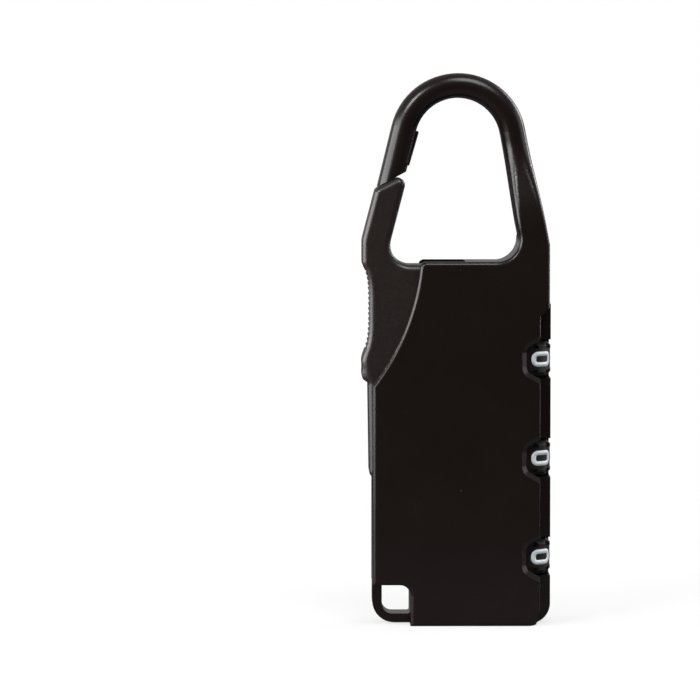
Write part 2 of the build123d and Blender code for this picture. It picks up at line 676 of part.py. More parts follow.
def grip_grooves():
    """Row of small round grooves across the thumb grip."""
    curve = grip_curve()
    grooves = []
    for rib in range(GRIP_RIBS):
        spot = curve @ ((rib + 0.5) / GRIP_RIBS)
        grooves.append(cross_pin(GRIP_GROOVE, spot.X - GRIP_GROOVE / 3, spot.Y, -CASE_DEPTH, CASE_DEPTH))
    return grooves


def gate_lever():
    """The sprung gate, with its pivot boss and the nose that works the comb."""
    half = LEVER_DEPTH / 2
    lever = slab(lever_face(), -half, half)
    rims = [face.edges() for face in (lever.faces().sort_by(Axis.Y)[0], lever.faces().sort_by(Axis.Y)[-1])]
    shown = []
    for rim in rims:
        shown += [edge for edge in rim if edge.center().X < edge_limit(edge.center().Z)]
    lever = fillet(shown, LEVER_ROUND)
    lever += cross_pin(PIVOT_BOSS_RADIUS, PIVOT_X, PIVOT_Z, -half, half)
    lever += nose_arm()
    lever -= cross_pin(PIVOT_PIN_RADIUS + RUN, PIVOT_X, PIVOT_Z, -CASE_DEPTH, CASE_DEPTH)
    lever -= lever_spring_slot()
    for groove in grip_grooves():
        lever -= groove
    return lever


def edge_limit(z):
    """X below which a lever edge shows outside the shells."""
    return CURVE_TOP_X if z > LEVER_FOOT_Z else LEFT_X + WALL


def nose_arm():
    """Arm under the shells whose round nose presses the comb's shelf."""
    points = [
        (PIVOT_X, PIVOT_Z + PIVOT_BOSS_RADIUS),
        (PIVOT_X + PIVOT_BOSS_RADIUS, PIVOT_Z + 2 * PIVOT_BOSS_RADIUS),
        (NOSE_X, NOSE_Z + NOSE_RADIUS),
        (NOSE_X, NOSE_Z),
        (NOSE_X - 2 * NOSE_RADIUS, NOSE_Z - NOSE_RADIUS / 2),
        (PIVOT_X + PIVOT_BOSS_RADIUS, PIVOT_Z),
    ]
    half = NOSE_DEPTH / 2
    arm = slab(make_face(Polyline(*points, close=True).edges()), -half, half)
    return arm + cross_pin(NOSE_RADIUS, NOSE_X, NOSE_Z, -half, half)


def lever_spring_slot():
    """Slot in the lever for the coil round the pin and for the leg that presses it."""
    half = LEVER_COIL_PITCH * LEVER_COIL_TURNS / 2 + LEVER_WIRE / 2 + SIDE_GAP
    room = LEVER_COIL_RADIUS + LEVER_WIRE / 2 + SIDE_GAP
    slot = cross_pin(room, PIVOT_X, PIVOT_Z, -half, half)
    low_x = PIVOT_X - LEVER_COIL_RADIUS - LEVER_WIRE / 2 - FIT
    slot += block((low_x, PIVOT_X + room), (-half, half), (PIVOT_Z - room, PIVOT_Z + LEVER_SPRING_LEG + 1))
    return slot + block((PIVOT_X, PIVOT_X + 3 * room), (-half, half), (PIVOT_Z - room, PIVOT_Z))


def wire_along(path, wire):
    """Round wire of a given diameter along a path."""
    start = path @ 0
    return sweep(Plane(start, z_dir=path % 0) * Circle(wire / 2), path)


def half_turns(place, radius, pitch, count):
    """Half turns of a coil, each a tilted arc; place puts a coil point (across, up, along) in the lock."""
    arcs = []
    for turn in range(count):
        side = 1 if turn % 2 == 0 else -1
        along = turn * pitch / 2
        first = place(-side * radius, 0, along)
        middle = place(0, side * radius, along + pitch / 4)
        last = place(side * radius, 0, along + pitch / 2)
        arcs.append(ThreePointArc(first, middle, last))
    return arcs


def lever_spring():
    """Torsion spring: a leg on the post, the coil round the pin, and a leg up inside the lever."""
    radius = LEVER_COIL_RADIUS
    y_start = LEVER_COIL_PITCH * LEVER_COIL_TURNS / 2

    def place(across, up, along):
        return Vector(PIVOT_X + across, along - y_start, PIVOT_Z + up)

    bottom = place(0, -radius, 0)
    left = place(-radius, 0, 0)
    corner = radius * sqrt(0.5)
    quarter = ThreePointArc(bottom, place(-corner, -corner, 0), left)
    path = Line(bottom + Vector(LEVER_SPRING_FOOT, 0, 0), bottom) + quarter
    for arc in half_turns(place, radius, LEVER_COIL_PITCH, 2 * LEVER_COIL_TURNS):
        path += arc
    top = place(-radius, 0, LEVER_COIL_PITCH * LEVER_COIL_TURNS)
    path += Line(top, top + Vector(0, 0, LEVER_SPRING_LEG))
    return wire_along(path, LEVER_WIRE)


def comb_spring():
    """Compression spring under the comb's tab."""
    pitch = (COMB_SPRING_LENGTH - COMB_WIRE) / COMB_COIL_TURNS

    def place(across, up, along):
        return Vector(COMB_SPRING_X + across, up, COMB_SPRING_BOTTOM_Z + COMB_WIRE / 2 + along)

    arcs = half_turns(place, COMB_COIL_RADIUS, pitch, 2 * COMB_COIL_TURNS)
    path = arcs[0]
    for arc in arcs[1:]:
        path += arc
    return wire_along(path, COMB_WIRE)


def dial_wheel(z):
    """Number wheel: chamfered ring with a shallow band for its figures, notched rims and a keyway."""
    half = WHEEL_WIDTH / 2
    ring = tube(WHEEL_RADIUS, WHEEL_BORE, AXLE_X, z - half, z + half)
    rims = ring.edges().filter_by(GeomType.CIRCLE).filter_by(lambda edge: edge.radius > WHEEL_BORE + 1)
    ring = chamfer(rims, WHEEL_CHAMFER)
    band = FIGURE_BAND / 2
    ring -= tube(WHEEL_RADIUS + 1, WHEEL_RADIUS - FIGURE_RECESS, AXLE_X, z - band, z + band)
    away = WHEEL_RADIUS + NOTCH_RADIUS - NOTCH_DEPTH
    for digit in range(DIGITS):
        angle = radians(DIGIT_ANGLE + (digit + 0.5) * 360 / DIGITS)
        x = AXLE_X + away * cos(angle)
        y = away * sin(angle)
        ring -= upright(NOTCH_RADIUS, x, z + half - NOTCH_LENGTH, z + half + 1, y)
        ring -= upright(NOTCH_RADIUS, x, z - half - 1, z - half + NOTCH_LENGTH, y)
    return ring - key(z, RUN)


def key(z, gap):
    """Key between a wheel and its gate ring, grown by a gap for the keyway."""
    wide = KEY_WIDTH / 2 + gap
    half = WHEEL_WIDTH / 2
    top = WHEEL_BORE + KEY_HEIGHT + gap
    return block((AXLE_X + AXLE_RADIUS + RUN, AXLE_X + top), (-wide, wide), (z - half - gap, z + half + gap))


def gate_ring(z):
    """Sleeve on the axle, keyed to its wheel, with the slotted flange that the comb's finger passes."""
    half = WHEEL_WIDTH / 2
    low = z - RING_BOTTOM_DROP
    ring = upright(WHEEL_BORE - RUN, AXLE_X, low, z + half)
    flange_top = z - FLANGE_TOP_DROP
    ring += upright(FLANGE_RADIUS, AXLE_X, flange_top - FLANGE, flange_top)
    ring += key(z, -FIT)
    ring -= upright(AXLE_RADIUS + RUN, AXLE_X, low - 1, z + half + 1)
    wide = FINGER_WIDTH / 2 + SLIDE_GAP
    reach = FLANGE_RADIUS - FINGER_BITE - SLIDE_GAP
    far = AXLE_X - FLANGE_RADIUS - 1
    slot_z = (flange_top - FLANGE - FIT, flange_top + FIT)
    return ring - block((far, AXLE_X - reach), (-wide, wide), slot_z)


def locking_comb():
    """Bar with a shelf for the lever's nose, a tab for its spring and a finger for each wheel."""
    half = COMB_DEPTH / 2
    finger_tops = [z - FINGER_TOP_DROP for z in WHEEL_Z]
    bar_z = (finger_tops[0] - FINGER - COMB_END, finger_tops[2] + COMB_END)
    comb = block((COMB_X, COMB_END_X), (-half, half), bar_z)
    shelf_z = (SHELF_TOP_Z - COMB_THICK, SHELF_TOP_Z)
    comb += block((COMB_X - SHELF_REACH, COMB_END_X), (-half, half), shelf_z)
    tab_z = COMB_SPRING_BOTTOM_Z + COMB_SPRING_LENGTH
    tab_half = COMB_COIL_RADIUS + COMB_WIRE
    comb += block((TAB_X, COMB_END_X), (-tab_half, tab_half), (tab_z, tab_z + COMB_TAB))
    tip_x = AXLE_X - FLANGE_RADIUS + FINGER_BITE
    wide = FINGER_WIDTH / 2
    for top in finger_tops:
        comb += block((COMB_X, tip_x), (-wide, wide), (top - FINGER, top))
    return comb


def comb_keepers():
    """Two strips across the guides."""
    y = COMB_DEPTH / 2 + SLIDE_GAP
    left = COMB_X - SLIDE_GAP - CHEEK_LEFT
    right = COMB_END_X + SLIDE_GAP + CHEEK_RIGHT
    strips = []
    for z in COMB_GUIDE_Z:
        strip = block((left, right), (y, y + KEEPER), (z, z + GUIDE_HEIGHT))
        for x in screw_spots():
            strip -= cross_pin(SCREW_RADIUS + FIT, x, z + GUIDE_HEIGHT / 2, y - 1, y + KEEPER + 1)
        strips.append(strip)
    return strips


def keeper_screws():
    """Screws of the keepers, with low round heads."""
    y = COMB_DEPTH / 2 + SLIDE_GAP + KEEPER
    screws = []
    for z in COMB_GUIDE_Z:
        for x in screw_spots():
            middle = z + GUIDE_HEIGHT / 2
            screw = cross_pin(SCREW_RADIUS, x, middle, SLIDE_GAP, y)
            screws.append(screw + cross_pin(SCREW_HEAD, x, middle, y, y + KEEPER))
    return screws


def rivet_x():
    """X of the rivets, at the middle of the leaf's spine."""
    return LEAF_SPINE_X + LEAF_SPINE / 2


def rivet_heights():
    """Heights of the two rivets, between the wheels."""
    return [(WHEEL_Z[0] + WHEEL_Z[1]) / 2, (WHEEL_Z[1] + WHEEL_Z[2]) / 2]


def detent_spring():
    """Leaf on the back cover: a spine with a finger to the notched upper rim of each wheel."""
    back = INNER_BACK_Y
    half = WHEEL_WIDTH / 2
    spine_x = (LEAF_SPINE_X, LEAF_SPINE_X + LEAF_SPINE)
    leaf = block(spine_x, (back - LEAF, back), (WHEEL_Z[0], WHEEL_Z[2] + half))
    touch = WHEEL_RADIUS + RUN
    end_x = AXLE_X - sqrt(touch * touch - (back - LEAF) ** 2)
    for z in WHEEL_Z:
        leaf += block((spine_x[0], end_x), (back - LEAF, back), (z + half - LEAF_FINGER, z + half))
    for z in rivet_heights():
        leaf -= cross_pin(RIVET_RADIUS + FIT, rivet_x(), z, 0, BACK_Y)
    return leaf


def detent_rivets():
    """Rivets that hold the leaf to the back cover."""
    rivets = []
    for z in rivet_heights():
        face_y = INNER_BACK_Y - LEAF
        shank = cross_pin(RIVET_RADIUS, rivet_x(), z, face_y, BACK_Y - SHELL / 2)
        rivets.append(shank + cross_pin(2 * RIVET_RADIUS, rivet_x(), z, face_y - RIVET_HEAD, face_y))
    return rivets


def case_dowels():
    """Pins that hold the two shells together."""
    return [cross_pin(DOWEL_RADIUS, x, z, 0, BACK_Y - SHELL / 2) for x, z in DOWEL_SPOTS]


def clip_heights():
    """Bottom of each retaining ring, against the inner face of its rib."""
    return [AXLE_RIB_Z[0] + RIB + RUN, AXLE_RIB_Z[1] - RUN - CLIP]


def axle_clips():
    """Open retaining rings on the axle."""
    clips = []
    for z in clip_heights():
        ring = tube(CLIP_RADIUS, AXLE_RADIUS + FIT, AXLE_X, z, z + CLIP)
        gap = AXLE_RADIUS / 2
        clips.append(ring - block((AXLE_X - gap, AXLE_X + gap), (0, CASE_DEPTH), (z - 1, z + CLIP + 1)))
    return clips


def axle_spacers():
    """Tubes on the axle between the clips and the gate rings, by name."""
    half = WHEEL_WIDTH / 2
    lows = [clip_heights()[0] + CLIP + RUN]
    highs = []
    for z in WHEEL_Z:
        highs.append(z - RING_BOTTOM_DROP - RUN)
        lows.append(z + half + RUN)
    highs.append(clip_heights()[1] - RUN)
    names = ["bottom", "lower", "upper", "top"]
    return {name: (low, high) for name, low, high in zip(names, lows, highs)}


def dial_axle():
    """Rod along the wheels."""
    return upright(AXLE_RADIUS, AXLE_X, AXLE_RIB_Z[0] + FIT, AXLE_RIB_Z[1] + RIB)


def lever_pivot_pin():
    """Pin of the gate lever, held in both shells."""
    return cross_pin(PIVOT_PIN_RADIUS, PIVOT_X, PIVOT_Z, FRONT_Y + SHELL / 2, BACK_Y - SHELL / 2)


def save(name, shape):
    """Write one piece, or a group of the same piece, to its own file."""
    if isinstance(shape, list):
        shape = Compound(children=[solid for item in shape for solid in item.solids()])
    export_step(shape, f"parts/{name}.step")


def main():
    """Write every piece of the lock."""
    os.makedirs("parts", exist_ok=True)
    save("front_casting", front_casting())
    save("back_cover", back_cover())
    save("gate_lever", gate_lever())
    save("lever_pivot_pin", lever_pivot_pin())
    save("lever_spring", lever_spring())
    save("dial_axle", dial_axle())
    save("axle_clips", axle_clips())
    for name, z in zip(WHEEL_NAMES, WHEEL_Z):
        save(f"dial_wheel_{name}", dial_wheel(z))
        save(f"gate_ring_{name}", gate_ring(z))
    for name, (low, high) in axle_spacers().items():
        save(f"axle_spacer_{name}", tube(SPACER_RADIUS, AXLE_RADIUS + RUN, AXLE_X, low, high))
    save("locking_comb", locking_comb())
    save("comb_spring", comb_spring())
    save("comb_keepers", comb_keepers())
    save("keeper_screws", keeper_screws())
    save("detent_spring", detent_spring())
    save("detent_rivets", detent_rivets())
    save("case_dowels", case_dowels())


main()
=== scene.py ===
# %% [markdown]
# A small combination padlock: a cast shell with a bent shackle, a sprung gate lever and three
# dials. The solids come packed from CAD as a fixed frame, with every piece on the body that it
# moves with. This lesson dresses that frame: it gives each piece the finish of its real material,
# paints the figures on the dials, and lights the lock as a studio would. No solid is moved, so
# sizes stay those of the CAD model.

# %% Load the frame
import bmesh
import bpy
import math
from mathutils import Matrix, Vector


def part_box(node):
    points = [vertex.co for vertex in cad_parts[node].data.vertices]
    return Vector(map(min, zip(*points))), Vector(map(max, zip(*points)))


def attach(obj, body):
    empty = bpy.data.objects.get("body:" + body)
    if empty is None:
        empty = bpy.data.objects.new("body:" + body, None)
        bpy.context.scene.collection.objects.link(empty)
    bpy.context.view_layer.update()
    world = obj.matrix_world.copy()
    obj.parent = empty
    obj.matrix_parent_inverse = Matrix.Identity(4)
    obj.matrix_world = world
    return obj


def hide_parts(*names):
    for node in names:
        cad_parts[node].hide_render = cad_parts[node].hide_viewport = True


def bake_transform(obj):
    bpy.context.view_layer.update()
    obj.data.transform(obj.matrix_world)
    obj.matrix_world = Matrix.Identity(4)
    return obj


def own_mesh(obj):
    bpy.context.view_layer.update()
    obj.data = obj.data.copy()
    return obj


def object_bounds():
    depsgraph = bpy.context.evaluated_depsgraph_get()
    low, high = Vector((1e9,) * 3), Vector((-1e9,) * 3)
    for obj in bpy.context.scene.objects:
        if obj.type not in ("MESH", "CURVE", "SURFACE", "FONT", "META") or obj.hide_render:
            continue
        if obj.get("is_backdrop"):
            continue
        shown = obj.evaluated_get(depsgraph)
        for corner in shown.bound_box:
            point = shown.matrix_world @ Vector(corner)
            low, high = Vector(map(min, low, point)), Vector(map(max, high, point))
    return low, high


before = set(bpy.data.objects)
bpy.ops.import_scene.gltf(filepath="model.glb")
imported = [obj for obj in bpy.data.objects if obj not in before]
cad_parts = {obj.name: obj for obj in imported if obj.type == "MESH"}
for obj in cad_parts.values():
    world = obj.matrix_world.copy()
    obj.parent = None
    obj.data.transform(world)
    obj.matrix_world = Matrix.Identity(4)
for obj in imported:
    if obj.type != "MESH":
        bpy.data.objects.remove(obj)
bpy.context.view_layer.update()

# %% [markdown]
# A few helpers serve every tree below. Paint is talked about in sRGB hex, as on a colour card,
# while shaders work in linear light, so one function converts. The others set a node's inputs, add
# a node and put a sum into a Math node, which keeps each material short enough to read as a recipe.

# %% Helpers for colour and nodes
MM = 0.001


def paint(hex_code):
    """An sRGB hex colour as linear RGBA."""
    channels = [int(hex_code[i:i + 2], 16) / 255 for i in (1, 3, 5)]
    linear = [c / 12.92 if c <= 0.04045 else ((c + 0.055) / 1.055) ** 2.4 for c in channels]
    return linear + [1.0]


def feed(node, inputs):
    """Sets a node's inputs, each to a value or to the socket that feeds it."""
    for key, value in inputs.items():
        if isinstance(value, bpy.types.NodeSocket):
            node.id_data.links.new(value, node.inputs[key])
        else:
            node.inputs[key].default_value = value


def add(tree, kind, inputs=None, **settings):
    """Adds a node with its settings and its inputs."""
    made = tree.nodes.new(kind)
    for name, value in settings.items():
        setattr(made, name, value)
    feed(made, inputs or {})
    return made


def reckon(tree, operation, *values):
    """The result of a Math node, from numbers or sockets."""
    return add(tree, "ShaderNodeMath", dict(enumerate(values)), operation=operation).outputs[0]


print("a black of #170e0b in linear light:", [round(v, 4) for v in paint("#170e0b")[:3]])

# %% [markdown]
# The camera is a long lens, as used for catalogue pictures: 0.6 m away, a little left of the lock
# and a little above it. A shifted lens could put the lock right of the middle, but turning the
# camera does the same and leaves other views centred, so the camera looks at a point beside the
# lock.

# %% Camera
AIM = Vector((0.0, 0.0, 40 * MM))
DISTANCE = 600 * MM
SIDE_ANGLE = math.radians(-2.2)
LIFT_ANGLE = math.radians(3.3)
PIXELS_PER_MM = 6.863
PICTURE = 700
AIM_PIXEL = (459.8, 348.2)
SENSOR = 36

back = Vector((
    math.sin(SIDE_ANGLE) * math.cos(LIFT_ANGLE),
    -math.cos(SIDE_ANGLE) * math.cos(LIFT_ANGLE),
    math.sin(LIFT_ANGLE),
))
right = Vector((math.cos(SIDE_ANGLE), math.sin(SIDE_ANGLE), 0.0))
up = back.cross(right)
aside = (PICTURE / 2 - AIM_PIXEL[0]) / PIXELS_PER_MM * MM
below = (PICTURE / 2 - AIM_PIXEL[1]) / PIXELS_PER_MM * MM
target = AIM + right * aside - up * below

lens = bpy.data.cameras.new("studio_camera")
lens.sensor_width = SENSOR
lens.lens = PIXELS_PER_MM * (DISTANCE / MM) * SENSOR / PICTURE
lens.clip_start = 10 * MM
camera = bpy.data.objects.new("studio_camera", lens)
camera.location = AIM + back * DISTANCE
camera.rotation_euler = (target - camera.location).to_track_quat("-Z", "Y").to_euler()
bpy.context.scene.collection.objects.link(camera)
bpy.context.scene.camera = camera
print("lens:", round(lens.lens, 1), "mm")

# %% [markdown]
# Every finish starts from the same two nodes, a Principled shader and its output, and reads Object
# coordinates. A solid sits at the origin with its place in its mesh, so those coordinates are
# metres on the lock itself, and a pattern of so many millimetres gets the scale 1 / size. No real
# surface is quite even, so noise runs through each finish: it mixes two close colours, and it
# varies the roughness between two values. Noise keeps mostly to its middle, so that part of it is
# spread over the whole span.

# %% Start of a finish
NOISE_MIDDLE = (0.3, 0.7)


def start_finish(name):
    """A new material: its tree, its shader and the socket of object coordinates in metres."""
    material = bpy.data.materials.new(name)
    material.use_nodes = True
    tree = material.node_tree
    tree.nodes.clear()
    shader = add(tree, "ShaderNodeBsdfPrincipled")
    add(tree, "ShaderNodeOutputMaterial", {"Surface": shader.outputs["BSDF"]})
    place = add(tree, "ShaderNodeTexCoord").outputs["Object"]
    return material, tree, shader, place


def per_mm(size):
    """Pattern scale for a detail of that many millimetres."""
    return 1 / (size * MM)


def noise(tree, place, size, detail):
    """Noise from 0 to 1, with blots about that many millimetres wide."""
    inputs = {"Vector": place, "Scale": per_mm(size), "Detail": detail}
    return add(tree, "ShaderNodeTexNoise", inputs).outputs["Fac"]


def tint(tree, share, first, second):
    """A colour between two hex codes or sockets; the Mix node has its colours at 6 and 7."""
    first, second = (paint(c) if isinstance(c, str) else c for c in (first, second))
    mixed = add(tree, "ShaderNodeMix", {0: share, 6: first, 7: second}, data_type="RGBA")
    return mixed.outputs[2]


def remap(tree, value, span, onto):
    """A value carried from one span to another, and held within it."""
    limits = {"From Min": span[0], "From Max": span[1], "To Min": onto[0], "To Max": onto[1]}
    return add(tree, "ShaderNodeMapRange", {"Value": value, **limits}).outputs["Result"]


def polish(tree, blots, least, most):
    """Roughness that varies with noise between two values."""
    return remap(tree, blots, NOISE_MIDDLE, (least, most))


def bump(tree, height, strength, depth):
    """A normal that follows a height, over a depth in millimetres."""
    inputs = {"Height": height, "Strength": strength, "Distance": depth * MM}
    return add(tree, "ShaderNodeBump", inputs).outputs["Normal"]


print("a 0.4 mm ripple has the scale", per_mm(0.4))

# %% [markdown]
# The shells are die-cast zinc with baked black enamel. Enamel is a smooth dielectric: nearly black,
# with a faint warm cast, a soft ripple called orange peel, and a polish that varies a little where
# the film is thicker. Reflection does most of the work on black, so the ripple and the uneven
# polish matter more than the colour. A few specks of dust lie on it, as on anything black in a
# studio: space is cut into cells of so many millimetres with a point in each, what lies within a
# small part of a cell from its point is dusty, and most cells are left clean.

# %% Black enamel on cast zinc
SPECK_CELL = 2.9
SPECK_REACH = 0.028
CLEAN_SHARE = 0.86

enamel, tree, shader, place = start_finish("black_enamel_on_cast_zinc")
cell = add(tree, "ShaderNodeTexVoronoi",
           {"Vector": place, "Scale": per_mm(SPECK_CELL), "Randomness": 1.0}).outputs
lot = add(tree, "ShaderNodeSeparateColor", {"Color": cell["Color"]}).outputs["Red"]
near = reckon(tree, "LESS_THAN", cell["Distance"], SPECK_REACH)
drawn = reckon(tree, "GREATER_THAN", lot, CLEAN_SHARE)
dust = reckon(tree, "MULTIPLY", near, drawn)
cloud = noise(tree, place, size=9, detail=3)
coat = tint(tree, cloud, "#130b08", "#170e0b")
ripple = noise(tree, place, size=1.1, detail=1)
feed(shader, {
    "Base Color": tint(tree, dust, coat, "#8c8885"),
    "Roughness": polish(tree, cloud, 0.22, 0.28),
    "Normal": bump(tree, ripple, strength=0.05, depth=0.02),
    "IOR": 1.5,
    "Specular IOR Level": 0.5,
})
print(enamel.name, len(tree.nodes), "nodes")

# %% [markdown]
# The gate lever has a grittier coat than the shells, so that a thumb grips it: the same black, but
# duller, with a fine grain that scatters light. It is a thin coat over metal, so it mirrors a
# little more than enamel does. The grain is drawn at about a pixel in the picture.

# %% Grained black on the lever
grained, tree, shader, place = start_finish("matt_grained_black_on_zinc")
grain = noise(tree, place, size=0.18, detail=3)
patch = noise(tree, place, size=5, detail=2)
tone = reckon(tree, "MULTIPLY", grain, patch)
feed(shader, {
    "Base Color": tint(tree, tone, "#170e0b", "#281e19"),
    "Roughness": polish(tree, grain, 0.3, 0.42),
    "Normal": bump(tree, grain, strength=0.15, depth=0.02),
    "IOR": 1.5,
    "Specular IOR Level": 0.8,
})
print(grained.name, len(tree.nodes), "nodes")

# %% [markdown]
# The dials are moulded from black acetal, a slightly waxy plastic with a satin skin from the mould.

# %% Black acetal of the dials
acetal, tree, shader, place = start_finish("moulded_black_acetal")
skin = noise(tree, place, size=0.3, detail=2)
flow = noise(tree, place, size=3, detail=2)
feed(shader, {
    "Base Color": tint(tree, flow, "#120e0c", "#1b1613"),
    "Roughness": polish(tree, skin, 0.42, 0.52),
    "Normal": bump(tree, skin, strength=0.12, depth=0.01),
    "IOR": 1.48,
    "Specular IOR Level": 0.2,
})
print(acetal.name, len(tree.nodes), "nodes")

# %% [markdown]
# The figures are filled with white paint. It is a little cold in tone, and not quite even.

# %% White fill of the figures
white_fill, tree, shader, place = start_finish("white_fill_paint")
blot = noise(tree, place, size=0.5, detail=2)
feed(shader, {
    "Base Color": tint(tree, blot, "#d3dadf", "#eef3f6"),
    "Roughness": polish(tree, blot, 0.45, 0.6),
    "IOR": 1.5,
})
print(white_fill.name, len(tree.nodes), "nodes")

# %% [markdown]
# Inside, the pins, springs, screws and keepers are drawn or turned steel. Fine scratches run along
# the length of such stock, so the noise is stretched along Z.

# %% Bright drawn steel
def streaks(tree, place, across, along):
    """Noise with blots of one size across X and Y and another along Z, in millimetres."""
    scale = (per_mm(across), per_mm(across), per_mm(along))
    scaled = add(tree, "ShaderNodeMapping", {"Vector": place, "Scale": scale}).outputs[0]
    inputs = {"Vector": scaled, "Scale": 1.0, "Detail": 3.0}
    return add(tree, "ShaderNodeTexNoise", inputs).outputs["Fac"]


steel, tree, shader, place = start_finish("bright_drawn_steel")
lines = streaks(tree, place, across=0.12, along=4)
feed(shader, {
    "Base Color": tint(tree, lines, "#a9a9ab", "#d2d2d3"),
    "Roughness": polish(tree, lines, 0.22, 0.4),
    "Metallic": 1.0,
})
print(steel.name, len(tree.nodes), "nodes")

# %% [markdown]
# The flanged rings and the locking comb are machined brass, with turning marks that run round the
# Z axis and a light tarnish.

# %% Machined brass
brass, tree, shader, place = start_finish("machined_brass")
marks = streaks(tree, place, across=2, along=0.12)
tarnish = noise(tree, place, size=3, detail=3)
feed(shader, {
    "Base Color": tint(tree, tarnish, "#b08d4c", "#d9bd77"),
    "Roughness": polish(tree, marks, 0.25, 0.42),
    "Metallic": 1.0,
})
print(brass.name, len(tree.nodes), "nodes")

# %% [markdown]
# The tubes between the dials are natural nylon: milky, with a matt skin.

# %% Natural nylon
nylon, tree, shader, place = start_finish("natural_nylon")
milk = noise(tree, place, size=1.5, detail=2)
feed(shader, {
    "Base Color": tint(tree, milk, "#d8d4c8", "#e9e6dc"),
    "Roughness": polish(tree, milk, 0.45, 0.6),
    "IOR": 1.53,
})
print(nylon.name, len(tree.nodes), "nodes")

# %% [markdown]
# Each solid gets the finish of what its piece is made of in the CAD model. Most of the small pieces
# inside are steel, so steel is the rule, and the table below lists the others.

# %% Dress the solids
FINISH = {
    "front_casting": enamel,
    "back_cover": enamel,
    "gate_lever": grained,
    "dial_wheel_top": acetal,
    "dial_wheel_middle": acetal,
    "dial_wheel_bottom": acetal,
    "gate_ring_top": brass,
    "gate_ring_middle": brass,
    "gate_ring_bottom": brass,
    "locking_comb": brass,
    "axle_spacer_bottom": nylon,
    "axle_spacer_lower": nylon,
    "axle_spacer_upper": nylon,
    "axle_spacer_top": nylon,
}
for name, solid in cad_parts.items():
    solid.data.materials.clear()
    solid.data.materials.append(FINISH.get(name, steel))
count = len(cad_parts)
print("dressed", count, "solids,", count - len(FINISH), "of them in steel")

# %% [markdown]
# Two springs change shape when the lever is pressed: the comb's coil closes up, and the lever's
# coil winds up. A rigid solid can't do either. Here each spring is shown by a copy of its mesh,
# whose loose triangles are merged first, in place of its solid, which is hidden. The comb's copy
# rides on the case body with a mesh of its own. The lever's copy has its place baked into its mesh
# and keeps its shape.

# %% Merged copies of the springs
MERGE_GAP = 0.001 * MM


def spring_copy(node, name):
    """A merged copy of a spring, shown in place of its solid."""
    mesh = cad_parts[node].data.copy()
    work = bmesh.new()
    work.from_mesh(mesh)
    bmesh.ops.remove_doubles(work, verts=work.verts, dist=MERGE_GAP)
    work.to_mesh(mesh)
    work.free()
    made = bpy.data.objects.new(name, mesh)
    bpy.context.scene.collection.objects.link(made)
    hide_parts(node)
    print(name, len(mesh.vertices), "points")
    return made


comb_coil = spring_copy("comb_spring", "comb_spring_that_closes")
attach(comb_coil, "case")
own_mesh(comb_coil)
lever_coil = spring_copy("lever_spring", "lever_spring_that_winds")
low, high = (Vector(corner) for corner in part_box("lever_pivot_pin"))
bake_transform(lever_coil)

# %% [markdown]
# A dial has ten places. The figure in the window is so large that only every second place can carry
# one, so the even figures stand on the dial and a dot marks each odd place. They lie on their side,
# because they are read with the lock turned. A font could be used, but the strokes are as broad as
# a third of the figure, so each mark is drawn as the middle line of its strokes, in a box from -1
# to 1.

# %% Middle lines of the figures and the dot
FIGURES = {
    0: [[(-1, -1), (1, -1), (1, 1), (-1, 1), (-1, -1)]],
    2: [[(-1, 0.5), (-1, 1), (1, 1), (1, 0.15), (-1, -1), (1, -1)]],
    4: [[(0.5, -1), (0.5, 1), (-1, -0.4), (1, -0.4)]],
    6: [[(0.9, 1), (-1, 1), (-1, -1), (1, -1), (1, 0.1), (-1, 0.1)]],
    8: [[(-1, 0), (1, 0), (1, 1), (-1, 1), (-1, 0)],
        [(-1, -1), (1, -1), (1, 0), (-1, 0), (-1, -1)]],
}
DOT = [[(0, -0.1), (0, 0.1)]]
PLACES = 10
print("figures:", list(FIGURES), "and", PLACES - len(FIGURES), "dots")

# %% [markdown]
# The lines of all ten places go into one flat curve, one mark below the other, as on a strip of
# paper that will be wound round the dial. The strip is drawn short and is stretched when it is
# wound, as figures on a round dial are made taller so that they don't look flat from the front. A
# line that ends where it starts becomes a closed loop.

# %% The strip of figures
DIAL_RADIUS = 4.955 * MM
FIGURE_WIDTH = 2.18 * MM
FIGURE_HEIGHT = 3.35 * MM
STROKE_WIDTH = 0.64 * MM
STRETCH = 1.25
STEP = 2 * math.pi / PLACES * DIAL_RADIUS / STRETCH


def strip_of_figures(name):
    """A flat curve with the marks of the ten places in a column, one step apart."""
    curve = bpy.data.curves.new(name, "CURVE")
    curve.dimensions = "3D"
    half_x = (FIGURE_WIDTH - STROKE_WIDTH) / 2
    half_y = (FIGURE_HEIGHT - STROKE_WIDTH) / 2
    for place in range(PLACES):
        for line in FIGURES.get(place, DOT):
            closed = line[0] == line[-1]
            points = line[:-1] if closed else line
            spline = curve.splines.new("POLY")
            spline.points.add(len(points) - 1)
            spline.use_cyclic_u = closed
            for point, (x, y) in zip(spline.points, points):
                point.co = (x * half_x, y * half_y - place * STEP, 0.0, 1.0)
    strip = bpy.data.objects.new(name, curve)
    bpy.context.scene.collection.objects.link(strip)
    return strip


print("strip length:", round(PLACES * STEP / MM, 1), "mm")

# %% [markdown]
# Geometry Nodes then do for every dial what a printer does: round the corners of the lines, give
# them the width of the stroke, and wind the strip round the dial. Stretched distance along the
# strip becomes an angle, and distance across it becomes height on the axle. The paint is a hair
# thick, so that it lies on the dial and doesn't flicker with it.

# %% Tree that winds the strip round a dial
CORNER_POINTS = 8
POINT_GAP = 0.09 * MM

